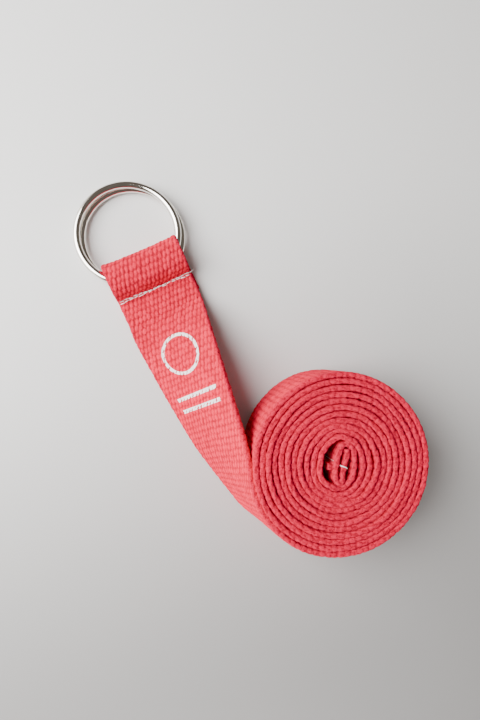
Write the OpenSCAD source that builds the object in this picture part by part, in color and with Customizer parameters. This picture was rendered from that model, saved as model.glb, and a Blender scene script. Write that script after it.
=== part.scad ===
// Rolled cotton stretching strap with a pair of steel cinch rings.
// Units are millimetres, +Z is up, and the roll and the flat end rest on z = 0.
// The origin is the middle of the roll, and the flat end points along +Y.

/* [Webbing] */
// Width of the webbing
webbing_w = 38; // [32:0.5:40]
// Thickness of the webbing
webbing_t = 2.4; // [1.8:0.1:2.5]

/* [Roll] */
// Radius of the outermost turn, measured to the middle of the webbing
roll_r = 39.3; // [38.5:0.1:41]
// Distance from one turn to the next
turn_pitch = 2.7; // [2.65:0.01:2.75]
// Number of half turns in the core, under the outermost turn
core_half_turns = 21; // [15:2:21]
// Number of jointed lengths in the outermost turn
link_count = 12; // [12:12:12]
// Gap left at each joint between lengths of webbing
joint_gap = 0.05; // [0.04:0.01:0.1]

/* [Tail hem] */
// Length of the straight hem at the middle of the roll
hem_l = 6.4; // [4:0.1:6.6]
// How far the folded layer comes back
hem_back = 8.6; // [6:0.1:9]

/* [Flat end] */
// Where the twist ends and the single layer is flat
flat_y = 94; // [92:0.5:96]
// Middle of the flat end
flat_x = -41.1; // [-42:0.1:-40]
// Length of the double layer, from its bend line to the pocket for the rings
double_l = 11.5; // [11:0.1:12]
// Inside length of the pocket, from the sewn end to the start of the fold
pocket_l = 13.2; // [13:0.1:14]
// Inside height of the pocket
pocket_h = 8.4; // [8.4:0.1:9]

/* [Rings] */
// Outside diameter of each ring
ring_od = 50.8; // [50.4:0.1:51]
// Wire diameter of each ring
wire_d = 3.4; // [3:0.1:3.4]
// Middle of the lower ring along the strap
ring_y = 133.4; // [133:0.1:134]
// How far the upper ring sits out from the lower one
ring_step = 0.6; // [0:0.1:0.8]
// How far the upper ring sits to the side of the lower one
ring_shift = 0; // [-0.6:0.1:0.6]

/* [Stitching] */
// Diameter of the sewing thread
thread_d = 0.4; // [0.3:0.05:0.5]
// Length of one stitch
stitch_l = 2.5; // [2:0.1:3]
// Distance between the two rows across the loop
row_step = 1.5; // [1.2:0.1:2]

/* [Hidden] */

half_w = webbing_w / 2;
half_t = webbing_t / 2;
half_pitch = turn_pitch / 2;
link_angle = 360 / link_count;

// The hem stands on the line where the innermost arc ends.
inner_r = roll_r - half_pitch * (core_half_turns + 1);
hem_gap = 0.1;
hem_x = 0;
hem_second_x = hem_x - webbing_t - hem_gap;

// Twist of the lead: distance from the roll, then angle from flat.
twist_knots = [[0, 90], [8, 86.5], [16, 76.5], [25, 62], [37, 50.5],
               [56, 38.5], [76, 24], [87, 12], [flat_y, 0]];
// Path of the lead's middle line: distance from the roll, then x.
drift_knots = [[0, -roll_r], [8, -39.9], [16, -41], [25, -42.1], [37, -43.1],
               [56, -43.3], [76, -42.4], [87, -41.6], [flat_y, flat_x]];
lift_start = 76;
lead_steps = 48;

// Bend line of the double layer, in the middle of the single layer.
bend_y = flat_y + half_t + 2 * joint_gap;
bend_z = webbing_t + half_t;
cut_end_y = bend_y + 0.9;
pocket_y = bend_y + double_l;
fold_y = pocket_y + pocket_l;
fold_r = pocket_h / 2;
fold_z = webbing_t + fold_r;

// The pocket wall, out from the sewn end and up from its floor.
wall = [[0, 0], [0.25, 2.2], [0.95, 5.6], [2.3, 7.7], [4.6, pocket_h]];

ring_r = (ring_od - wire_d) / 2;
// The rings lean because one side lies on the webbing in the pocket.
ring_lean = 3.9;
lower_z = wire_d / 2 + ring_r * sin(ring_lean);
stack = wire_d + 0.04;
upper_y = ring_y + stack * sin(ring_lean) + ring_step;
upper_z = lower_z + stack * cos(ring_lean) - ring_step * tan(ring_lean);

seam_y = pocket_y - 3.6;
stitch_n = floor((webbing_w - 2) / stitch_l);
stitch_margin = (webbing_w - stitch_n * stitch_l) / 2;
hem_row_y = -2.2;

pink = [0.93, 0.42, 0.44];
deep_pink = [0.85, 0.33, 0.37];
white = [0.95, 0.93, 0.92];
nickel = [0.78, 0.77, 0.75];

$fn = 64;

function blend(u) = u <= 0 ? 0 : u >= 1 ? 1 : u * u * (3 - 2 * u);
function unit(v) = v / norm(v);
function left_of(v) = [-v[1], v[0]];
// Direction of a run of points at point i, from its neighbours.
function heading(p, i) =
    unit(p[min(i + 1, len(p) - 1)] - p[max(i - 1, 0)]);
// Stretch of a mitred offset at point i.
function miter(p, i) =
    i == 0 || i == len(p) - 1 ? 1 : 1 / (heading(p, i) * unit(p[i + 1] - p[i]));

// Half turn k of the roll: even ones pass -Y, odd ones pass +Y.
function half_turn_r(k) = roll_r - k * half_pitch;
function half_turn_x(k) = k % 2 == 0 ? 0 : half_pitch;

module arc_wall(r, from, sweep)
{
    rotate([0, 0, from])
        rotate_extrude(angle = sweep, $fn = 96)
            translate([r - half_t, 0])
                square([webbing_t, webbing_w]);
}

module core_turns()
{
    for (k = [2 : core_half_turns + 1])
        translate([half_turn_x(k), 0, 0])
            arc_wall(half_turn_r(k), k % 2 == 0 ? 180 : 0, 180);
}

module tail_hem()
{
    // Arc from the innermost turn to the hem line
    translate([(inner_r + hem_x) / 2, 0, 0])
        arc_wall((inner_r - hem_x) / 2, 0, 180);
    translate([hem_x - half_t, -hem_l, 0])
        cube([webbing_t, hem_l + 0.01, webbing_w]);
    // Fold at the end of the hem, then the layer that comes back
    translate([(hem_x + hem_second_x) / 2, -hem_l, 0])
        arc_wall((hem_x - hem_second_x) / 2, 180, 180);
    translate([hem_second_x - half_t, -hem_l - 0.01, 0])
        cube([webbing_t, hem_back, webbing_w]);
}

module roll_core()
{
    color(deep_pink)
    union()
    {
        core_turns();
        tail_hem();
    }
}

// One length of the outermost turn; number 1 is next to the core.
module outer_link(n)
{
    end_angle = 180 - link_angle * (n - 1);
    k = end_angle > 0 ? 1 : 0;
    trim = joint_gap / 2 / half_turn_r(k) * 180 / PI;
    color(pink)
    translate([half_turn_x(k), 0, 0])
        arc_wall(half_turn_r(k), end_angle - link_angle + trim, link_angle - 2 * trim);
}

function lead_lift(y) = webbing_t * blend((y - lift_start) / (flat_y - lift_start));
function lead_ring(y) =
    let (a = lookup(y, twist_knots),
         across = [cos(a), 0, sin(a)],
         up = [-sin(a), 0, cos(a)],
         z = half_w * sin(a) + half_t * cos(a) + lead_lift(y),
         mid = [lookup(y, drift_knots), y, z])
    [mid - half_w * across - half_t * up,
     mid + half_w * across - half_t * up,
     mid + half_w * across + half_t * up,
     mid - half_w * across + half_t * up];

module lead_strap()
{
    first_y = joint_gap;
    rings = [for (i = [0 : lead_steps])
        lead_ring(first_y + (flat_y - first_y) * i / lead_steps)];
    points = [for (r = rings) for (p = r) p];
    sides = [for (i = [0 : lead_steps - 1]) for (j = [0 : 3])
        let (a = 4 * i + j,
             b = 4 * i + (j + 1) % 4)
        each [[a, b, b + 4], [a, b + 4, a + 4]]];
    last = 4 * lead_steps;
    ends = [[3, 2, 1, 0], [last, last + 1, last + 2, last + 3]];
    color(pink)
        polyhedron(points = points, faces = concat(sides, ends));
}

module pocket_profile()
{
    base = [pocket_y, webbing_t];
    inner = [for (p = wall) base + p];
    polygon(concat(inner, [[fold_y, webbing_t + pocket_h], [fold_y, webbing_t]]));
    translate([fold_y, fold_z])
        circle(r = fold_r);
}

module eye_profile()
{
    base = [pocket_y, webbing_t];
    inner = [for (p = wall) base + p];
    outer = [for (i = [0 : len(inner) - 1])
        inner[i] + webbing_t * miter(inner, i) * left_of(heading(inner, i))];
    difference()
    {
        union()
        {
            polygon(concat(
                [[cut_end_y, 0], [fold_y, 0], [fold_y, 2 * webbing_t + pocket_h]],
                [for (i = [len(outer) - 1 : -1 : 1]) outer[i]],
                [[outer[0][0] - 0.2, 2 * webbing_t], [bend_y, 2 * webbing_t],
                 [bend_y, webbing_t], [cut_end_y, webbing_t]]));
            translate([fold_y, fold_z])
                circle(r = fold_r + webbing_t);
            translate([bend_y, bend_z])
                circle(r = half_t);
        }
        pocket_profile();
    }
}

module loop_eye()
{
    color(pink)
    translate([flat_x - half_w, 0, 0])
        rotate([90, 0, 90])
            linear_extrude(height = webbing_w)
                eye_profile();
}

// A row of stitches along +X on the face z = 0, with legs going down into the webbing.
module stitch_row(proud, depth)
{
    for (i = [0 : stitch_n - 1])
        translate([stitch_margin + i * stitch_l + 0.1, -thread_d / 2, proud - thread_d])
            cube([stitch_l - 0.2, thread_d, thread_d]);
    for (i = [0 : stitch_n])
        translate([stitch_margin + i * stitch_l, 0, -depth])
            cylinder(d = thread_d, h = depth - thread_d + proud + 0.1, $fn = 24);
}

module seam_rows(proud, depth)
{
    for (row = [0, 1])
        translate([0, row * row_step, 0])
            stitch_row(proud, depth);
}

module seam_needle_thread()
{
    color(white)
    translate([flat_x - half_w, seam_y - row_step, 2 * webbing_t])
        seam_rows(0.2, webbing_t - 0.1);
}

module seam_bobbin_thread()
{
    color(white)
    translate([flat_x - half_w, seam_y, 0])
        rotate([180, 0, 0])
            seam_rows(0, webbing_t - 0.1);
}

// The hem row runs up the width of the webbing, through both layers.
module hem_needle_thread()
{
    color(white)
    translate([hem_x + half_t, hem_row_y, 0])
        rotate([0, -90, 180])
            stitch_row(0.2, webbing_t);
}

module hem_bobbin_thread()
{
    color(white)
    translate([hem_second_x - half_t, hem_row_y, 0])
        rotate([0, -90, 0])
            stitch_row(0.2, webbing_t - 0.1);
}

module ring(shift, y, z)
{
    color(nickel)
    translate([flat_x + shift, y, z])
        rotate([-ring_lean, 0, 0])
            rotate_extrude($fn = 96)
                translate([ring_r, 0])
                    circle(d = wire_d, $fn = 32);
}

module lower_ring()
{
    ring(0, ring_y, lower_z);
}

module upper_ring()
{
    ring(ring_shift, upper_y, upper_z);
}

roll_core();
hem_needle_thread();
hem_bobbin_thread();
outer_link(1);  // outer_turn_01
outer_link(2);  // outer_turn_02
outer_link(3);  // outer_turn_03
outer_link(4);  // outer_turn_04
outer_link(5);  // outer_turn_05
outer_link(6);  // outer_turn_06
outer_link(7);  // outer_turn_07
outer_link(8);  // outer_turn_08
outer_link(9);  // outer_turn_09
outer_link(10);  // outer_turn_10
outer_link(11);  // outer_turn_11
outer_link(12);  // outer_turn_12
lead_strap();
loop_eye();
seam_needle_thread();
seam_bobbin_thread();
lower_ring();
upper_ring();
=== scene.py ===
import math

import bpy
import numpy as np
from mathutils import Euler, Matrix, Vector


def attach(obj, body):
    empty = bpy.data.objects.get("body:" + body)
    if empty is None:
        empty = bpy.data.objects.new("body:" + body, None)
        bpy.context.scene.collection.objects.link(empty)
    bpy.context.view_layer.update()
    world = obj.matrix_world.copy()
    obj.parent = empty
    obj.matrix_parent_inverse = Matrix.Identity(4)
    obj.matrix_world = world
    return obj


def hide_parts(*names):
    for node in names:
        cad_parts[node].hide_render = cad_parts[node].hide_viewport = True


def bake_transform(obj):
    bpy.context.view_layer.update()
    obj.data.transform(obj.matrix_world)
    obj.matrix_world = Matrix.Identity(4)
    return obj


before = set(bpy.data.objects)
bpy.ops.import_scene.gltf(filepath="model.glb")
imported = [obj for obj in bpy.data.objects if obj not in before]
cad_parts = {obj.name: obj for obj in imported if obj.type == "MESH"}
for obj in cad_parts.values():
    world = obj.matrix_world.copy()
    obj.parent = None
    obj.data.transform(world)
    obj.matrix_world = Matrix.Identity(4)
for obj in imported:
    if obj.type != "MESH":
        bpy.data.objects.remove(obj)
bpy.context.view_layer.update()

# Lengths below are in millimetres; meshes are scaled to metres when they are made.
MM = 0.001
rng = np.random.default_rng(7)

# ---------------------------------------------------------------- sizes shared with the frame
WIDTH = 38.0
ROLL_R = 39.3          # middle of the outermost turn
PITCH = 2.7            # turn to turn
FLAT_X = -41.1         # middle of the flat end
RING_R = 23.7
WIRE_R = 1.7
RING_LEAN = math.radians(3.9)
RING_Y = 133.3         # middle of the lower ring
RING_SLIP = 1.4        # how far the upper ring has slid on the lower one
HEM_ANGLE = math.radians(65.5)   # direction of the hem at the middle of the roll
INNER_R = 9.2          # where the even spiral ends and the tail begins
LEAD_END = 112.0       # the lead's middle surface is laid out this far from the roll
LINK_COUNT = 12        # jointed lengths in the outermost turn
LINK_ANGLE = 360.0 / LINK_COUNT

# ---------------------------------------------------------------- weave
ROW = 2.80             # from one row of knuckles to the next, along the strap
RIBS = 17              # ribs across one face
RIB_COUNT = 2 * RIBS + 4   # two more go round each edge
CORE_HALF_T = 0.98     # half thickness under the knuckles
RELIEF = 0.40          # height of the knuckles
HALF_T = 1.45          # half thickness over the knuckles
FLAT_HALF = WIDTH / 2 - CORE_HALF_T - 0.34
SLANT = 0.28           # how far a knuckle leans across its rib over its length


def hash01(a, b):
    """A repeatable random number in 0..1 for each pair of whole numbers."""
    x = np.sin(a * 127.1 + b * 311.7) * 43758.5453
    return x - np.floor(x)


class Section:
    """The outline of the webbing: points round it, their outward normals, ribs and place in a rib."""

    def __init__(self, top, edge, bottom):
        """top and bottom are lists of samples per rib, one number for each of the ribs."""
        a, b, na, nb, rib, v = [], [], [], [], [], []
        width = 2 * FLAT_HALF / RIBS

        def add(*row):
            for store, value in zip((a, b, na, nb, rib, v), row):
                store.append(value)

        for j, m in enumerate(top):
            for i in range(m):
                local = i / m - 0.5
                add(-FLAT_HALF + (j + 0.5 + local) * width, CORE_HALF_T, 0.0, 1.0, j, local)
        for i in range(edge):
            c, d = self.rounded(math.pi * (0.5 - i / edge))
            add(FLAT_HALF + CORE_HALF_T * c, CORE_HALF_T * d, c, d, RIBS + (2 * i >= edge),
                2 * i / edge % 1 - 0.5)
        for j, m in enumerate(bottom):
            for i in range(m):
                local = i / m - 0.5
                add(FLAT_HALF - (j + 0.5 + local) * width, -CORE_HALF_T, 0.0, -1.0, RIBS + 2 + j, local)
        for i in range(edge):
            c, d = self.rounded(math.pi * (-0.5 - i / edge))
            add(-FLAT_HALF + CORE_HALF_T * c, CORE_HALF_T * d, c, d, 2 * RIBS + 2 + (2 * i >= edge),
                2 * i / edge % 1 - 0.5)
        self.a, self.b, self.na, self.nb = map(np.array, (a, b, na, nb))
        self.rib, self.v = np.array(rib), np.array(v)
        self.count = len(a)

    @staticmethod
    def rounded(t):
        """A point on the edge's outline, fuller than a half circle."""
        c, d = math.cos(t), math.sin(t)
        return math.copysign(abs(c) ** 0.58, c), math.copysign(abs(d) ** 0.58, d)


def knuckles(s, section):
    """Height of the weave, 0 in the grooves to about 1 on the crowns, at stations s round the section.

    The crowns stand in rows across the strap, one to a rib, and each row is half a rib from the next.
    """
    s = np.asarray(s)[:, None]
    place = section.rib + section.v
    turn = 2 * np.pi * place / RIB_COUNT
    rows = s / ROW + 0.06 * np.sin(s / 17.0 + 3 * turn) + 0.04 * np.sin(s / 5.3 + 11 * turn)
    best = np.zeros((len(s), section.count))
    for dk in (-1, 0, 1):
        k = np.round(rows) + dk
        across = place - 0.5 * (k % 2)
        for dj in (-1, 0, 1):
            centre = np.round(across) + dj
            rib = centre % RIB_COUNT
            along = rows - k + 0.18 * (hash01(rib + 7.0, k) - 0.5)
            size = 1.0 + 0.34 * (hash01(rib, k) - 0.5)
            reach = 1.0 + 0.22 * (hash01(rib + 31.0, k) - 0.5)
            lean = SLANT * (0.6 + 0.8 * hash01(rib + 57.0, k))
            aside = 0.16 * (hash01(rib + 83.0, k) - 0.5)
            sideways = across - centre + aside + lean * along
            inside = 1.0 - (sideways / (0.54 * reach)) ** 2 - (along / 0.61) ** 2
            best = np.maximum(best, size * np.sqrt(np.clip(inside, 0.0, None)))
    lumps = 0.10 * np.sin(s * 3.9 + 15 * turn) * np.sin(s * 6.7 - 34 * turn)
    # The yarns that turn back round the edges are packed tighter, and less even.
    on_edge = section.rib % (RIBS + 2) >= RIBS
    best = np.where(on_edge, 0.38 + 0.60 * best, best)
    lumps += on_edge * 0.16 * np.sin(s * 5.3 + 41 * turn) * np.sin(s * 2.3 - 63 * turn + 1.3)
    return np.clip((best - 0.30) / 0.70 + lumps, 0.0, 1.15)


# ---------------------------------------------------------------- the path of the strap
def smooth(t):
    t = np.clip(t, 0.0, 1.0)
    return t * t * (3.0 - 2.0 * t)


def soften(x, passes):
    """Rounds off a run of values without moving its ends."""
    x = np.array(x, float)
    for _ in range(passes):
        x[1:-1] = 0.25 * x[:-2] + 0.5 * x[1:-1] + 0.25 * x[2:]
    return x


# Twist of the lead, in degrees from flat, and its middle line, against distance from the roll. Both lists
# are measured from the picture, in degrees and millimetres, and are not worked out from the sizes above.
TWIST = [(0, 76.3), (7, 72), (13, 67), (19, 61.5), (25, 56.5), (31, 52.5), (37, 49), (43, 46),
         (49, 42.8), (54, 39.6), (60, 35.9), (66, 32), (71, 28.4), (77, 23.5), (82, 18.5), (88, 11),
         (93, 3), (98, 0), (LEAD_END, 0)]
DRIFT = [(0, -43.9), (7, -44.3), (13, -44.2), (19, -43.9), (31, -43.8), (43, -43.6), (54, -43.3),
         (66, -42.9), (77, -42.5), (88, -41.9), (94, -41.3), (98, FLAT_X), (LEAD_END, FLAT_X)]


def turn_angle_table():
    """Angle round the roll, in degrees past the lead's tangent point, for each half millimetre wound on."""
    step = 0.5
    angle, out = 0.0, [0.0]
    while roll_radius(angle) > INNER_R:
        angle += math.degrees(step / roll_radius(angle))
        out.append(angle)
    return np.array(out), step


def roll_radius(turned):
    return ROLL_R - PITCH * turned / 360.0


TURNED, TURN_STEP = turn_angle_table()
ROLL_END = (len(TURNED) - 1) * TURN_STEP


def lobe(turned, at, width):
    """A smooth rise round one direction, in degrees round the roll."""
    away = (180.0 + turned - at + 180.0) % 360.0 - 180.0
    return np.exp(-(away / width) ** 2)


def roll_shape(turned):
    """How far the real roll stands out from an even spiral, for each angle turned."""
    around = np.radians(turned)
    fade = np.clip(1.0 - turned / 4200.0, 0.0, 1.0) * smooth(turned / 45.0)
    swell = 0.55 + 0.18 * np.sin(around + 0.6) + 0.14 * np.sin(2 * around + 1.1)
    swell += 0.08 * np.sin(3.07 * around)
    swell += 1.35 * lobe(turned, 60.0, 48.0) + 0.45 * lobe(turned, -5.0, 40.0)
    middle = 1.3 * smooth((turned - 2400.0) / 1500.0) * lobe(turned, 182.0, 38.0)
    loose = 0.11 * np.sin(5.0 * around + turned * 0.021) + 0.08 * np.sin(8.0 * around - turned * 0.017)
    return swell * fade + middle + loose * smooth((turned - 60.0) / 200.0)


def lead_lift(y):
    """How far the end of the lead is held off the table, by the layer folded under it."""
    return 2.5 * smooth((y - 76.0) / 18.0)


def edge_curves():
    """The strap's middle surface as two edge curves on a run of stations: s, lower edge, upper edge."""
    s_lead = np.arange(-LEAD_END, 0.0, 0.5)
    y = -s_lead
    twist = np.radians(np.interp(y, *zip(*TWIST)))
    mid_x = np.interp(y, *zip(*DRIFT))
    mid_z = WIDTH / 2 * np.sin(twist) + HALF_T * np.cos(twist) + lead_lift(y)
    across = np.stack([np.cos(twist), np.zeros_like(twist), np.sin(twist)], 1)
    mid = np.stack([mid_x, y, mid_z], 1)
    low_lead, high_lead = mid - WIDTH / 2 * across, mid + WIDTH / 2 * across

    s_roll = np.arange(0.0, ROLL_END, 0.5)
    turned = np.interp(s_roll, np.arange(len(TURNED)) * TURN_STEP, TURNED)
    around = np.radians(180.0 + turned)
    radius = roll_radius(turned) + roll_shape(turned)
    flare = 5.2 * (1 - smooth((turned - 45.0) / 60.0)) + 3.7 * (1 - smooth(turned / 26.0))
    # The innermost turns are oval, drawn out by the hem they wrap.
    oval = smooth((turned - 2700.0) / 1300.0)
    long_way = np.cos(around - HEM_ANGLE) * (1.0 + 0.125 * oval)
    short_way = np.sin(around - HEM_ANGLE) * (1.0 - 0.115 * oval)
    ray = np.stack([long_way * math.cos(HEM_ANGLE) - short_way * math.sin(HEM_ANGLE),
                    long_way * math.sin(HEM_ANGLE) + short_way * math.cos(HEM_ANGLE),
                    np.zeros_like(around)], 1)
    high = radius[:, None] * ray
    low = (radius + flare)[:, None] * ray
    rise = np.sqrt(WIDTH ** 2 - flare ** 2)
    # Inside the outermost turn the turns have settled a little unevenly on the table.
    inside = smooth((turned - 380.0) / 200.0)
    settle = 0.55 * np.sin(turned / 360.0 * 2.4 + 0.5) * inside
    settle += 0.22 * np.sin(np.radians(turned) * 2.0 + turned / 300.0) * inside
    low[:, 2] = 0.16 + np.maximum(settle, -0.1) + 0.1 * inside
    high[:, 2] = low[:, 2] + rise

    s = np.concatenate([s_lead, s_roll])
    low = np.concatenate([low_lead, low])
    high = np.concatenate([high_lead, high])
    near = (s > -LEAD_END) & (s < 60.0)
    for edge in (low, high):
        for axis in range(3):
            edge[near, axis] = soften(edge[near, axis], 26)
    return s, low, high


S_TABLE, LOW, HIGH = edge_curves()


def strap_surface(s, a):
    """Middle surface of the lead and the roll at stations s (n,) and places a (m,) across: (n, m, 3)."""
    low = np.stack([np.interp(s, S_TABLE, LOW[:, i]) for i in range(3)], 1)
    high = np.stack([np.interp(s, S_TABLE, HIGH[:, i]) for i in range(3)], 1)
    across = high - low
    across /= np.linalg.norm(across, axis=1)[:, None]
    return ((low + high) / 2)[:, None, :] + np.asarray(a)[None, :, None] * across[:, None, :]


# ---------------------------------------------------------------- the sewn loop
LOOP_FROM = 84.0       # the loop's webbing starts here, on the lead
SEAM_Y = 107.6
FOLD_Y = 118.9
FOLD_R = 5.4
FOLD_Z = HALF_T + FOLD_R
TAIL_Y = 98.4          # cut end of the layer underneath
WALL = np.array([(0.0, 0.0), (0.5, 1.7), (1.1, 4.2), (2.1, 6.5), (3.8, 7.9), (5.8, 8.3), (8.2, 8.4)])


def resample(points, count):
    points = np.asarray(points, float)
    steps = np.r_[0, np.cumsum(np.hypot(*np.diff(points, axis=0).T))]
    even = np.linspace(0, steps[-1], count)
    return np.stack([np.interp(even, steps, points[:, i]) for i in range(2)], 1), steps[-1]


def loop_line(a):
    """The middle of the loop's webbing in the (y, z) plane, at place a across."""
    share = (a / (WIDTH / 2)) ** 2
    open_up = 1.0 + 1.15 * share
    fold_y = FOLD_Y + 0.5 * share ** 2 - 0.25 * (1 - share)
    flat_y = np.linspace(LOOP_FROM, SEAM_Y, 60)
    flat = np.stack([flat_y, HALF_T + lead_lift(flat_y) - 0.30 * smooth((flat_y - 98) / 6)], 1)
    reach = min(open_up, (fold_y - SEAM_Y - 1.0) / WALL[-1, 0])
    wall = WALL * [reach, 1.0] + flat[-1] + [0.5, 0.0]
    top = 2 * FOLD_R + HALF_T
    wall[:, 1] = np.minimum(wall[:, 1], top)
    turn = np.radians(np.linspace(90, 0, 12))
    upper = np.stack([fold_y + FOLD_R * np.cos(turn), FOLD_Z + FOLD_R * np.sin(turn)], 1)
    rise, _ = resample(np.vstack([flat[-1], wall, upper]), 90)
    turn = np.radians(np.linspace(0, -90, 12))
    lower = np.stack([fold_y + FOLD_R * np.cos(turn), FOLD_Z + FOLD_R * np.sin(turn)], 1)
    back, _ = resample(np.vstack([lower, [SEAM_Y, HALF_T]]), 70)
    tail_y = np.linspace(SEAM_Y, TAIL_Y, 24)
    tail = np.stack([tail_y, np.full(24, HALF_T)], 1)
    line = np.vstack([flat, rise[1:], back[1:], tail[1:]])
    for axis in (0, 1):
        line[:, axis] = soften(line[:, axis], 14)
    return line


LOOP_MID = loop_line(0.0)
LOOP_STEPS = np.r_[0, np.cumsum(np.hypot(*np.diff(LOOP_MID, axis=0).T))]
LOOP_LENGTH = LOOP_STEPS[-1]
LOOP_TOP = slice(0, 80)   # the first points of that line, over which y only grows


def loop_station(y):
    """Distance along the loop's top layer at distance y from the roll."""
    return np.interp(y, LOOP_MID[LOOP_TOP, 0], LOOP_STEPS[LOOP_TOP])


def loop_surface(s, a):
    """Middle surface of the loop: s runs down from -84 on the lead to the cut end."""
    a = np.asarray(a)
    out = np.empty((len(s), len(a), 3))
    along = -np.asarray(s) - LOOP_FROM
    for i, place in enumerate(a):
        line = loop_line(place)
        y = np.interp(along, LOOP_STEPS, line[:, 0])
        z = np.interp(along, LOOP_STEPS, line[:, 1])
        out[:, i, 0] = FLAT_X + place
        out[:, i, 1] = y
        out[:, i, 2] = z
    # Over the first stretch the loop takes up the shape the lead leaves it with.
    lead = strap_surface(np.asarray(s), a)
    keep = (1 - smooth((along - 2.0) / 12.0))[:, None, None]
    return keep * lead + (1 - keep) * out


def loop_under_shift(s):
    """The folded-under layer lies slightly askew of the top one."""
    along = -s - LOOP_FROM
    return smooth((along - LOOP_LENGTH * 0.55) / (LOOP_LENGTH * 0.45))


# ---------------------------------------------------------------- making meshes
def new_mesh(name, verts, quads, caps=(), attributes=None):
    """A smooth closed mesh from quads, with flat end caps, and named vertex attributes."""
    mesh = bpy.data.meshes.new(name)
    sizes = np.r_[np.full(len(quads), 4), [len(c) for c in caps]].astype(np.int32)
    loops = np.concatenate([np.asarray(quads).ravel()] + [np.asarray(c) for c in caps]).astype(np.int32)
    mesh.vertices.add(len(verts))
    mesh.vertices.foreach_set("co", (np.asarray(verts) * MM).astype(np.float32).ravel())
    mesh.loops.add(len(loops))
    mesh.loops.foreach_set("vertex_index", loops)
    mesh.polygons.add(len(sizes))
    mesh.polygons.foreach_set("loop_start", np.r_[0, np.cumsum(sizes)[:-1]].astype(np.int32))
    mesh.polygons.foreach_set("loop_total", sizes)
    flags = np.ones(len(sizes), bool)
    if caps:
        flags[-len(caps):] = False
    mesh.polygons.foreach_set("use_smooth", flags)
    mesh.update(calc_edges=True)
    for key, values in (attributes or {}).items():
        values = np.asarray(values, np.float32)
        if values.ndim == 1:
            mesh.attributes.new(key, "FLOAT", "POINT").data.foreach_set("value", values)
        else:
            mesh.attributes.new(key, "FLOAT_VECTOR", "POINT").data.foreach_set("vector", values.ravel())
    obj = bpy.data.objects.new(name, mesh)
    bpy.context.scene.collection.objects.link(obj)
    return obj


def tube_faces(rows, around, flip=False):
    """Quads of a tube of rows x around points, and its two end caps."""
    i = np.arange(rows - 1)[:, None]
    j = np.arange(around)[None, :]
    k = (j + 1) % around
    quads = np.stack(np.broadcast_arrays(i * around + j, i * around + k,
                                         (i + 1) * around + k, (i + 1) * around + j), -1).reshape(-1, 4)
    first = np.arange(around)[::-1]
    last = (rows - 1) * around + np.arange(around)
    if flip:
        return quads[:, ::-1], (first[::-1], last[::-1])
    return quads, (first, last)


def webbing(name, s, surface, section, dent=None, shift=None, tongue=False):
    """A closed length of webbing with its weave, on a middle surface given by surface(s, a).

    A tongue runs on from its start, a little thinner, inside the length before it.
    """
    s = np.asarray(s, float)
    tuck = np.zeros(len(s))
    if tongue:
        back = np.sign(s[0] - s[-1])
        s = np.r_[s[0] + 0.8 * back, s[0] + 0.05 * back, s]
        tuck = np.r_[0.3, 0.3, tuck]
    mid = surface(s, section.a)
    side = surface(s, section.a + 0.05) - surface(s, section.a - 0.05)
    side /= np.linalg.norm(side, axis=2)[..., None]
    along = np.gradient(mid, s, axis=0)
    normal = np.cross(along, side)
    normal /= np.linalg.norm(normal, axis=2)[..., None]
    height = knuckles(s, section)
    out = RELIEF * height - tuck[:, None]
    if dent is not None:
        out = out - dent(s[:, None], section.b[None, :])
    points = (mid + (out * section.na)[..., None] * side
              + (section.b + out * section.nb)[..., None] * normal)
    if shift is not None:
        points = points + shift(s)[:, None, :]
    quads, caps = tube_faces(len(s), section.count, flip=s[-1] > s[0])
    place = np.empty((len(s), section.count, 3))
    place[..., 0] = s[:, None]
    place[..., 1] = section.a
    place[..., 2] = section.b / CORE_HALF_T
    return new_mesh(name, points.reshape(-1, 3), quads, caps,
                    {"strap": place.reshape(-1, 3), "crown": height.ravel()})


def tube(name, paths, radius, around, ply):
    """Threads: closed round tubes along each path, in one mesh, with a twisted-ply relief."""
    verts, quads, caps, base = [], [], [], 0
    for path in paths:
        path = np.asarray(path, float)
        ahead = np.gradient(path, axis=0)
        ahead /= np.linalg.norm(ahead, axis=1)[:, None]
        ref = np.where(np.abs(ahead[:, 2:3]) > 0.9, [[1.0, 0, 0]], [[0, 0, 1.0]])
        u = np.cross(ahead, ref)
        u /= np.linalg.norm(u, axis=1)[:, None]
        w = np.cross(ahead, u)
        length = np.r_[0, np.cumsum(np.linalg.norm(np.diff(path, axis=0), axis=1))]
        t = np.linspace(0, 2 * np.pi, around, endpoint=False)[None, :]
        taper = np.ones(len(path))
        taper[[0, -1]] = 0.35
        taper[[1, -2]] = 0.85
        r = radius * taper[:, None] * (1 + ply * np.cos(2 * (t - length[:, None] * 4.2)))
        spoke = np.cos(t)[..., None] * u[:, None, :] + np.sin(t)[..., None] * w[:, None, :]
        q, c = tube_faces(len(path), around)
        verts.append((path[:, None, :] + r[..., None] * spoke).reshape(-1, 3))
        quads.append(q + base)
        caps += [x + base for x in c]
        base += len(path) * around
    return new_mesh(name, np.vstack(verts), np.vstack(quads), caps)


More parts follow.
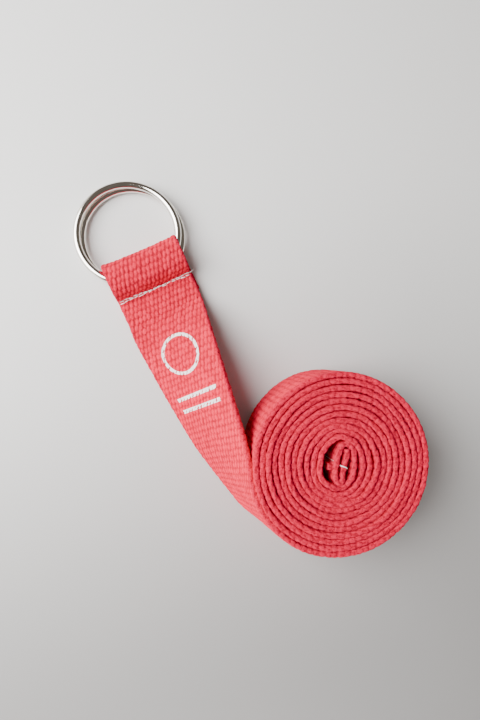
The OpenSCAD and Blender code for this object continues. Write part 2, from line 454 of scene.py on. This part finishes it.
# ---------------------------------------------------------------- materials
class Graph:
    """A short way to write shader node graphs."""

    def __init__(self, name):
        self.material = bpy.data.materials.new(name)
        self.material.use_nodes = True
        self.tree = self.material.node_tree
        self.bsdf = self.tree.nodes["Principled BSDF"]

    def link(self, value, socket):
        if isinstance(value, bpy.types.NodeSocket):
            self.tree.links.new(value, socket)
        else:
            socket.default_value = value

    def math(self, op, *values, clamp=False):
        node = self.tree.nodes.new("ShaderNodeMath")
        node.operation, node.use_clamp = op, clamp
        for socket, value in zip(node.inputs, values):
            self.link(value, socket)
        return node.outputs[0]

    def attribute(self, name):
        node = self.tree.nodes.new("ShaderNodeAttribute")
        node.attribute_name = name
        return node

    def split(self, vector):
        node = self.tree.nodes.new("ShaderNodeSeparateXYZ")
        self.link(vector, node.inputs[0])
        return node.outputs

    def scaled(self, vector, factors):
        node = self.tree.nodes.new("ShaderNodeVectorMath")
        node.operation = "MULTIPLY"
        self.link(vector, node.inputs[0])
        node.inputs[1].default_value = factors
        return node.outputs[0]

    def noise(self, vector, scale, detail=3.0, rough=0.55):
        node = self.tree.nodes.new("ShaderNodeTexNoise")
        self.link(vector, node.inputs["Vector"])
        node.inputs["Scale"].default_value = scale
        node.inputs["Detail"].default_value = detail
        node.inputs["Roughness"].default_value = rough
        return node.outputs["Fac"]

    def mix(self, factor, first, second, blend="MIX"):
        node = self.tree.nodes.new("ShaderNodeMix")
        node.data_type, node.blend_type = "RGBA", blend
        self.link(factor, node.inputs["Factor"])
        self.link(first, node.inputs["A"])
        self.link(second, node.inputs["B"])
        return node.outputs["Result"]

    def ramp(self, factor, stops):
        node = self.tree.nodes.new("ShaderNodeValToRGB")
        self.link(factor, node.inputs[0])
        elements = node.color_ramp.elements
        while len(elements) < len(stops):
            elements.new(0.5)
        for element, (at, colour) in zip(elements, stops):
            element.position, element.color = at, (*colour, 1.0)
        return node.outputs[0]

    def span(self, value, low, high):
        """0 below low, 1 above high, smooth between."""
        node = self.tree.nodes.new("ShaderNodeMapRange")
        node.interpolation_type = "SMOOTHSTEP"
        self.link(value, node.inputs["Value"])
        node.inputs["From Min"].default_value = low
        node.inputs["From Max"].default_value = high
        return node.outputs[0]

    def bump(self, height, strength, distance):
        node = self.tree.nodes.new("ShaderNodeBump")
        self.link(height, node.inputs["Height"])
        node.inputs["Strength"].default_value = strength
        node.inputs["Distance"].default_value = distance
        self.link(node.outputs[0], self.bsdf.inputs["Normal"])


# The printed mark: a plain ring over two plain bars, in millimetres along and across the strap.
MARK_RING = (-72.5, 0.0, 9.2, 1.5)
MARK_BARS = ((-52.5, 0.0, 12.5, 0.9), (-46.5, 0.0, 12.5, 0.9))


def mark_mask(g, along, across):
    cx, cy, radius, width = MARK_RING
    dx = g.math("SUBTRACT", along, cx)
    dy = g.math("SUBTRACT", across, cy)
    far = g.math("SQRT", g.math("ADD", g.math("MULTIPLY", dx, dx), g.math("MULTIPLY", dy, dy)))
    off = g.math("ABSOLUTE", g.math("SUBTRACT", far, radius))
    mask = g.math("SUBTRACT", 1.0, g.span(off, width / 2 - 0.12, width / 2 + 0.12))
    for bx, by, half, thick in MARK_BARS:
        over_x = g.math("ABSOLUTE", g.math("SUBTRACT", along, bx))
        over_y = g.math("ABSOLUTE", g.math("SUBTRACT", across, by))
        inside = g.math("MULTIPLY",
                        g.math("SUBTRACT", 1.0, g.span(over_x, thick - 0.12, thick + 0.12)),
                        g.math("SUBTRACT", 1.0, g.span(over_y, half - 0.12, half + 0.12)))
        mask = g.math("MAXIMUM", mask, inside)
    return mask


def cotton(name, groove_shade, body, crown_highlight, printed=False):
    """Woven cotton: painted shade in the grooves and painted highlights on the crowns, painted shade along
    the edges, slubs, fine fibres and a soft sheen.
    """
    g = Graph(name)
    strap = g.attribute("strap").outputs["Vector"]
    along, across, face = g.split(strap)
    crown = g.attribute("crown").outputs["Fac"]
    fibres = g.noise(g.scaled(strap, (1.1, 5.5, 3.0)), 1.9, 5.0, 0.65)
    slub = g.noise(g.scaled(strap, (0.5, 1.2, 1.0)), 0.55, 2.0)
    cloud = g.noise(strap, 0.045, 2.0)
    level = g.math("ADD", crown, g.math("MULTIPLY", g.math("SUBTRACT", fibres, 0.5), 0.55))
    level = g.math("ADD", level, g.math("MULTIPLY", g.math("SUBTRACT", slub, 0.5), 0.35))
    plies = g.noise(g.scaled(strap, (1.0, 1.6, 1.2)), 1.1, 3.0, 0.65)
    level = g.math("ADD", level, g.math("MULTIPLY", g.math("SUBTRACT", plies, 0.5), 1.5))
    edge = g.span(g.math("ABSOLUTE", across), FLAT_HALF - 0.2, FLAT_HALF + 0.25)
    grain = g.noise(g.scaled(strap, (1.0, 1.8, 1.5)), 1.5, 2.0, 0.7)
    grain = g.math("MULTIPLY", g.math("SUBTRACT", grain, 0.5), g.math("MULTIPLY", edge, 3.6))
    level = g.math("ADD", level, grain)
    # The ramp paints shade into the grooves and highlights onto the crowns, over the yarns' own uneven tone.
    colour = g.ramp(level, [(0.02, groove_shade), (0.42, body), (0.95, crown_highlight)])
    tint = g.ramp(cloud, [(0.3, (0.93, 0.93, 0.93)), (0.7, (1.05, 1.05, 1.05))])
    colour = g.mix(1.0, colour, tint, "MULTIPLY")
    # Along the two edges the colour is darkened: painted shade for the self-shadowed edge-on weave on the
    # roll's top and the shaded edges of the lead.
    colour = g.mix(edge, colour, g.mix(1.0, colour, (0.80, 0.65, 0.86, 1.0), "MULTIPLY"))
    rough = g.math("ADD", 0.80, g.math("MULTIPLY", fibres, 0.18))
    if printed:
        ink = mark_mask(g, along, across)
        ink = g.math("MULTIPLY", ink, g.span(face, 0.5, 0.9))
        worn = g.math("ADD", crown, g.math("MULTIPLY", g.math("SUBTRACT", fibres, 0.5), 0.7))
        ink = g.math("MULTIPLY", ink, g.span(worn, 0.04, 0.30))
        colour = g.mix(ink, colour, (0.90, 0.88, 0.88, 1.0))
        rough = g.math("SUBTRACT", rough, g.math("MULTIPLY", ink, 0.25))
    g.link(colour, g.bsdf.inputs["Base Color"])
    g.link(rough, g.bsdf.inputs["Roughness"])
    g.bsdf.inputs["Specular IOR Level"].default_value = 0.07
    g.bsdf.inputs["Sheen Weight"].default_value = 0.04
    g.bsdf.inputs["Sheen Roughness"].default_value = 0.55
    g.bsdf.inputs["Sheen Tint"].default_value = (1.0, 0.30, 0.38, 1.0)
    strands = g.noise(g.scaled(strap, (0.9, 4.2, 3.0)), 2.6, 3.0, 0.6)
    g.bump(g.math("ADD", strands, g.math("MULTIPLY", fibres, 0.6)), 0.75, 0.00028)
    return g.material


def thread_material():
    g = Graph("white_thread")
    coords = g.tree.nodes.new("ShaderNodeTexCoord").outputs["Object"]
    fine = g.noise(coords, 5200.0, 3.0)
    broad = g.noise(coords, 600.0, 2.0)
    colour = g.ramp(g.math("ADD", g.math("MULTIPLY", fine, 0.6), g.math("MULTIPLY", broad, 0.4)),
                    [(0.25, (0.86, 0.62, 0.64)), (0.6, (0.96, 0.90, 0.90))])
    g.link(colour, g.bsdf.inputs["Base Color"])
    g.link(g.math("ADD", 0.45, g.math("MULTIPLY", fine, 0.3)), g.bsdf.inputs["Roughness"])
    g.bsdf.inputs["Sheen Weight"].default_value = 0.25
    g.bump(fine, 0.4, 0.00008)
    return g.material


def ring_material():
    g = Graph("nickel_plate")
    coords = g.tree.nodes.new("ShaderNodeTexCoord").outputs["Object"]
    cloud = g.noise(coords, 90.0, 3.0)
    fine = g.noise(coords, 1800.0, 4.0, 0.7)
    weld = g.attribute("weld").outputs["Fac"]
    colour = g.ramp(cloud, [(0.3, (0.74, 0.70, 0.64)), (0.7, (0.84, 0.81, 0.76))])
    colour = g.mix(g.math("MULTIPLY", weld, 0.45), colour, (0.46, 0.42, 0.38, 1.0))
    g.link(colour, g.bsdf.inputs["Base Color"])
    g.bsdf.inputs["Metallic"].default_value = 1.0
    rough = g.math("ADD", 0.07, g.math("MULTIPLY", g.span(fine, 0.45, 0.75), 0.10))
    rough = g.math("ADD", rough, g.math("MULTIPLY", weld, 0.12))
    g.link(rough, g.bsdf.inputs["Roughness"])
    g.bump(g.math("ADD", g.math("MULTIPLY", fine, 0.3), g.math("MULTIPLY", cloud, 0.7)), 0.10, 0.0001)
    return g.material


def floor_material():
    g = Graph("pale_board")
    coords = g.tree.nodes.new("ShaderNodeTexCoord").outputs["Object"]
    broad = g.noise(coords, 4.0, 3.0)
    fine = g.noise(coords, 900.0, 3.0)
    colour = g.ramp(g.math("ADD", g.math("MULTIPLY", broad, 0.8), g.math("MULTIPLY", fine, 0.2)),
                    [(0.3, (0.715, 0.710, 0.704)), (0.7, (0.750, 0.746, 0.741))])
    # Painted shade: the board's colour darkens a little away from the window and towards the camera's foot.
    x, y, _ = g.split(coords)
    down = g.math("ADD", g.math("MULTIPLY", x, -0.20), g.math("MULTIPLY", y, -0.98))
    shade = g.ramp(g.span(down, -0.15, 0.12), [(0.0, (1.0, 1.0, 1.0)), (1.0, (0.39, 0.385, 0.385))])
    colour = g.mix(1.0, colour, shade, "MULTIPLY")
    g.link(colour, g.bsdf.inputs["Base Color"])
    g.link(g.math("ADD", 0.55, g.math("MULTIPLY", fine, 0.2)), g.bsdf.inputs["Roughness"])
    g.bump(fine, 0.12, 0.0001)
    return g.material


# Groove colour with painted shade, the webbing's own colour, and crown colour with a painted highlight.
GROOVE_SHADE, BODY, CROWN_HIGHLIGHT = (0.38, 0.006, 0.022), (0.60, 0.005, 0.032), (0.78, 0.018, 0.058)
webbing_cloth = cotton("cotton_webbing", GROOVE_SHADE, BODY, CROWN_HIGHLIGHT)
printed_cloth = cotton("cotton_webbing_printed", GROOVE_SHADE, BODY, CROWN_HIGHLIGHT, printed=True)
white_thread = thread_material()
nickel = ring_material()


def dress(obj, material):
    obj.data.materials.append(material)
    return obj


# ---------------------------------------------------------------- building the strap
# Samples per rib across a face that is hidden in the roll: close only next to the upper edge.
HIDDEN_OUT = [2, 1] + [1] * (RIBS - 5) + [2, 5, 7]
HIDDEN_IN = [7, 5, 2] + [1] * (RIBS - 5) + [1, 2]
FINE = Section([7] * RIBS, 7, [7] * RIBS)
# The first inner turn shows its outward face once the outermost turn is open; the others show only an edge.
FACE_OUT = Section([6] * RIBS, 8, HIDDEN_IN)
EDGE_ONLY = Section(HIDDEN_OUT, 8, HIDDEN_IN)
STEP = 0.33


def stations(start, stop, step=STEP):
    return np.linspace(start, stop, int(round(abs(stop - start) / step)) + 1)


def s_of_turn(turned):
    return float(np.interp(turned, TURNED, np.arange(len(TURNED)) * TURN_STEP))


def mid_point(s):
    x, y, z = strap_surface(np.array([s]), np.array([0.0]))[0, 0] * MM
    return Vector((x, y, z))


# Turn angles where the inner turns are cut into lengths, and at the middle of each jointed length of the
# outermost turn, from the core end outward.
CORE_CUTS = [365.0, 735.0, 1500.0, 2500.0, TURNED[-1] - 1.0]
MIDDLES = [345.0 - LINK_ANGLE * i for i in range(LINK_COUNT)]

# The lead, from the bend at the loop to the middle of the outermost jointed length
lead = webbing("lead_webbing", stations(s_of_turn(MIDDLES[-1]), -LOOP_FROM), strap_surface, FINE)
dress(lead, printed_cloth)
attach(lead, "lead")
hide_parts("lead_strap", "outer_turn_12")

# The outermost turn: each piece runs from the middle of one jointed length to the middle of the next
# Shares of a blend at a piece's two ends that would lay the strap straight with the joints fully open; the
# blend's reach and start are worked out from them but never applied.
SHARE_IN, SHARE_OUT = 0.33, 0.67
LAST = LINK_COUNT - 1
for i in range(LINK_COUNT):
    s_in = s_of_turn(MIDDLES[i] + LINK_ANGLE if i else CORE_CUTS[0])
    s_out = s_of_turn(MIDDLES[i])
    name = f"outer_turn_webbing_{i + 1:02d}"
    piece = webbing(name, stations(s_in, s_out), strap_surface, FINE, tongue=i > 0)
    dress(piece, webbing_cloth)
    from_share = SHARE_IN if i else 0.0
    to_share = SHARE_OUT if i < LAST else 1.0
    reach = (mid_point(s_out) - mid_point(s_in)) / (to_share - from_share)
    bend_start = mid_point(s_in) - reach * from_share
    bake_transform(piece)
    if i < LAST:
        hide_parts(f"outer_turn_{i + 1:02d}")

# The inner turns, in four lengths; the first shows its face once the outer turn is open
for i in range(len(CORE_CUTS) - 1):
    s0, s1 = s_of_turn(CORE_CUTS[i]), s_of_turn(CORE_CUTS[i + 1])
    section = EDGE_ONLY if i else FACE_OUT
    piece = webbing(f"inner_turns_webbing_{i + 1}", stations(s0, s1, 0.42), strap_surface, section)
    dress(piece, webbing_cloth)
    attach(piece, "rolled_core")
    if i == 0:
        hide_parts("roll_core")


# The tail: from the innermost turn round to a straight hem, folded back on itself. Its plan was measured from
# the picture, in millimetres, and then adjusted.
TAIL_PLAN = [(-3.4, -9.7), (-0.6, -9.3), (2.8, -7.2), (5.1, -3.7), (6.9, -0.2), (7.8, 3.6),
             (7.4, 6.2), (5.3, 7.4), (3.1, 6.9), (1.3, 4.8), (-0.6, 2.5), (-2.5, -0.2), (-4.2, -3.4),
             (-5.0, -5.8), (-4.2, -7.7), (-2.2, -6.9), (-1.2, -4.5), (0.8, -1.7), (2.9, 0.7),
             (4.7, 3.3), (5.5, 4.9)]
# A corner of the turned-under end sticks out of the hem.
CORNER_PLAN = [(-2.4, -0.2), (-4.2, 0.5), (-5.7, 1.5)]
TAIL_S0 = s_of_turn(CORE_CUTS[-1])


def upright(plan, lift):
    """A surface standing on edge along a plan path in (x, y), and the path's length."""
    line, length = resample(plan, 400)
    for axis in (0, 1):
        line[:, axis] = soften(line[:, axis], 45)
    share = np.linspace(0, length, len(line))

    def surface(s, a):
        out = np.empty((len(s), len(a), 3))
        for axis in (0, 1):
            out[..., axis] = np.interp(np.asarray(s) - TAIL_S0, share, line[:, axis])[:, None]
        out[..., 2] = np.asarray(a)[None, :] + WIDTH / 2 + lift
        return out

    return surface, length


tail_start = strap_surface(np.array([TAIL_S0]), np.array([0.0]))[0, 0, :2]
for name, plan, lift in (("tail_hem_webbing", [tail_start] + TAIL_PLAN, 0.5),
                         ("hem_corner_webbing", CORNER_PLAN, 0.3)):
    surface, length = upright(plan, lift)
    piece = webbing(name, stations(TAIL_S0, TAIL_S0 + length - 0.1, 0.36), surface, EDGE_ONLY)
    dress(piece, webbing_cloth)
    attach(piece, "rolled_core")


# The sewn loop, with the webbing pulled in under the stitches
def loop_dent(s, b):
    along = -s - LOOP_FROM
    return 0.28 * np.exp(-((along - loop_station(SEAM_Y) + 0.6) / 0.9) ** 2) * (b > 0)


def loop_shift(s):
    askew = loop_under_shift(s)
    return np.stack([0.9 * askew, 0.0 * askew, 0.0 * askew], 1)


loop = webbing("loop_webbing", stations(-LOOP_FROM, -LOOP_FROM - LOOP_LENGTH), loop_surface, FINE,
               dent=loop_dent, shift=loop_shift)
dress(loop, printed_cloth)
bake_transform(loop)
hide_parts("loop_eye")


# ---------------------------------------------------------------- threads
def on_loop(y, a, lift):
    """A point above the loop's top layer at distance y from the roll and place a across."""
    mid = loop_surface(np.array([-LOOP_FROM - loop_station(y)]), np.array([a]))[0, 0]
    return mid + np.array([0.0, 0.0, CORE_HALF_T + 0.18 + lift])


def stitch(start, end, rise, sink, count=9):
    """One stitch from hole to hole: down, over and down."""
    t = np.linspace(0, 1, count)
    line = start + (end - start) * t[:, None]
    line[:, 2] += rise * np.sin(np.pi * t) ** 0.6 - sink * (np.abs(2 * t - 1) ** 6)
    return line


needle, bobbin = [], []
holes = np.linspace(-18.2, 18.2, 16)
for row, (y_left, y_right) in enumerate(((106.0, 107.0), (107.2, 105.8))):
    for i in range(len(holes) - 1):
        a0, a1 = holes[i] + 0.2 * rng.normal(), holes[i + 1] + 0.2 * rng.normal()
        y0 = np.interp(a0, (-19, 19), (y_left, y_right)) + 0.2 * rng.normal()
        y1 = np.interp(a1, (-19, 19), (y_left, y_right)) + 0.2 * rng.normal()
        needle.append(stitch(on_loop(y0, a0, 0.0), on_loop(y1, a1, 0.0), 0.22, 0.55))
        low0, low1 = np.array([FLAT_X + a0, y0, 0.26]), np.array([FLAT_X + a1, y1, 0.26])
        bobbin.append(stitch(low0, low1, 0.0, -0.5))
# A loose thread end past the right edge
t = np.linspace(0, 1, 14)
tail_thread = np.stack([FLAT_X + 18.4 + 3.0 * t, 106.9 + 1.1 * t ** 1.5, 5.0 - 1.9 * t ** 2], 1)
needle.append(tail_thread)

seam_top = dress(tube("loop_seam_needle_thread", needle, 0.2, 10, 0.18), white_thread)
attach(seam_top, "sewn_loop")
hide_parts("seam_needle_thread")
seam_under = dress(tube("loop_seam_bobbin_thread", bobbin, 0.2, 8, 0.14), white_thread)
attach(seam_under, "sewn_loop")
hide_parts("seam_bobbin_thread")


HEM_OUT = np.array([0.63, -0.78])     # from the layer that comes back towards the first one
HEM_NEEDLE, HEM_BOBBIN = np.array([1.75, -2.85]), np.array([-1.92, 2.2])


def hem_row(place, out):
    paths = []
    z = np.linspace(1.4, 37.2, 15)
    for z0, z1 in zip(z[:-1], z[1:]):
        t = np.linspace(0, 1, 8)
        proud = 0.15 * np.sin(np.pi * t) ** 0.6 - 0.45 * np.abs(2 * t - 1) ** 6
        paths.append(np.column_stack([place + proud[:, None] * out, z0 + (z1 - z0) * t]))
    return paths


hem_front = hem_row(HEM_NEEDLE, HEM_OUT)
t = np.linspace(0, 1, 18)[:, None]
# The end of the hem thread crosses the top edge of both layers
across_hem = HEM_NEEDLE + (np.array([-0.4, 0.2]) - HEM_NEEDLE) * t + 0.15 * np.sin(5 * t)
hem_front.append(np.column_stack([across_hem, 38.0 + 1.25 * np.sin(np.pi * t) ** 0.4]))
hem_needle = dress(tube("hem_needle_thread_stitches", hem_front, 0.22, 8, 0.14), white_thread)
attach(hem_needle, "rolled_core")
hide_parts("hem_needle_thread")
hem_back = hem_row(HEM_BOBBIN, -HEM_OUT)
hem_bobbin = dress(tube("hem_bobbin_thread_stitches", hem_back, 0.2, 8, 0.14), white_thread)
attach(hem_bobbin, "rolled_core")
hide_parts("hem_bobbin_thread")


# ---------------------------------------------------------------- rings
def ring(name, x, y, z, weld_at):
    """A welded wire ring: a round torus with a faint bead where its ends meet."""
    n, m = 300, 40
    u = np.linspace(0, 2 * np.pi, n, endpoint=False)[:, None]
    v = np.linspace(0, 2 * np.pi, m, endpoint=False)[None, :]
    away = (u - weld_at + np.pi) % (2 * np.pi) - np.pi
    weld = np.exp(-(away * RING_R / 0.8) ** 2)
    bead = 0.05 * weld * (1 + 0.25 * np.sin(5 * v))
    waist = 0.012 * np.exp(-((np.abs(away) * RING_R - 2.2) / 0.7) ** 2)
    wire = WIRE_R * (1 + bead - waist)
    px = (RING_R + wire * np.cos(v)) * np.cos(u)
    py = (RING_R + wire * np.cos(v)) * np.sin(u)
    pz = wire * np.sin(v) + 0 * u
    c, s = math.cos(-RING_LEAN), math.sin(-RING_LEAN)
    points = np.stack([px + x, py * c - pz * s + y, py * s + pz * c + z], -1).reshape(-1, 3)
    i, j = np.arange(n)[:, None], np.arange(m)[None, :]
    next_row, next_j = (i + 1) % n * m, (j + 1) % m
    quads = np.stack(np.broadcast_arrays(i * m + j, next_row + j, next_row + next_j, i * m + next_j),
                     -1).reshape(-1, 4)
    weld = np.broadcast_to(weld, (n, m)).ravel()
    return dress(new_mesh(name, points, quads, (), {"weld": weld}), nickel)


LOW_Z = WIRE_R + RING_R * math.sin(RING_LEAN)
STACK = 2 * WIRE_R + 0.04
lower = ring("lower_ring_wire", FLAT_X + 0.3, RING_Y, LOW_Z, math.radians(-62))
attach(lower, "ring_low")
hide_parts("lower_ring")
upper = ring("upper_ring_wire", FLAT_X - 1.0, RING_Y + STACK * math.sin(RING_LEAN) + RING_SLIP,
             LOW_Z + STACK * math.cos(RING_LEAN) - RING_SLIP * math.tan(RING_LEAN), math.radians(-118))
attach(upper, "ring_top")
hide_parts("upper_ring")


# ---------------------------------------------------------------- set, light and camera
# The view is from nearly straight above, leaning a little and rolled, as in the picture.
RIGHT = Vector((0.9041, -0.4120, 0.0))
AWAY = Vector((0.4152, 0.9097, 0.0))
CENTRE = Vector((-0.017, 0.058, 0.0))

bpy.ops.mesh.primitive_grid_add(x_subdivisions=8, y_subdivisions=8, size=3.0, location=(0, 0, -0.0001))
board = bpy.context.active_object
board.name = "pale_board"
board.data.materials.append(floor_material())


def area_light(name, place, size, energy, colour):
    light = bpy.data.lights.new(name, "AREA")
    light.shape, light.size, light.energy, light.color = "DISK", size, energy, colour
    obj = bpy.data.objects.new(name, light)
    obj.location = place
    obj.rotation_euler = (CENTRE - Vector(place)).to_track_quat("-Z", "Y").to_euler()
    bpy.context.scene.collection.objects.link(obj)
    return obj


area_light("window", CENTRE - RIGHT * 0.38 + AWAY * 0.10 + Vector((0, 0, 0.39)), 0.48, 8.3,
           (1.0, 0.995, 0.985))
bounce = area_light("wall_bounce", CENTRE - RIGHT * 0.12 - AWAY * 0.42 + Vector((0, 0, 0.13)), 0.3, 1.8,
                    (1.0, 0.97, 0.95))
bounce.visible_glossy = False
fill = area_light("ceiling_fill", CENTRE - RIGHT * 0.2 + AWAY * 0.2 + Vector((0, 0, 1.1)), 1.2, 1.6,
                  (1.0, 0.985, 0.97))
fill.visible_glossy = False

# The room is bright on the window's side, and dark overhead and on the other side.
world = bpy.data.worlds.new("room_light")
world.use_nodes = True
nodes, links = world.node_tree.nodes, world.node_tree.links
look = nodes.new("ShaderNodeTexCoord")
towards = nodes.new("ShaderNodeVectorMath")
towards.operation = "DOT_PRODUCT"
towards.inputs[1].default_value = (AWAY * 0.06 - RIGHT * 0.92 + Vector((0, 0, 0.26))).normalized()
side = nodes.new("ShaderNodeMapRange")
side.interpolation_type = "SMOOTHSTEP"
side.inputs["From Min"].default_value = 0.60
side.inputs["From Max"].default_value = 0.93
sky = nodes.new("ShaderNodeMix")
sky.data_type = "RGBA"
sky.inputs["A"].default_value = (0.20, 0.175, 0.155, 1.0)
sky.inputs["B"].default_value = (4.0, 3.95, 3.8, 1.0)
links.new(look.outputs["Generated"], towards.inputs[0])
links.new(towards.outputs["Value"], side.inputs["Value"])
links.new(side.outputs[0], sky.inputs["Factor"])
links.new(sky.outputs["Result"], nodes["Background"].inputs["Color"])
nodes["Background"].inputs["Strength"].default_value = 0.75
bpy.context.scene.world = world

camera_data = bpy.data.cameras.new("overhead_camera")
camera_data.sensor_width = 36.0
camera_data.lens = 25.0
camera_data.clip_start = 0.01
camera = bpy.data.objects.new("overhead_camera", camera_data)
camera.location = (-0.0428, 0.0707, 0.2488)
camera.rotation_euler = Euler([math.radians(angle) for angle in (-0.292, -6.512, -24.498)], "XYZ")
bpy.context.scene.collection.objects.link(camera)
bpy.context.scene.camera = camera
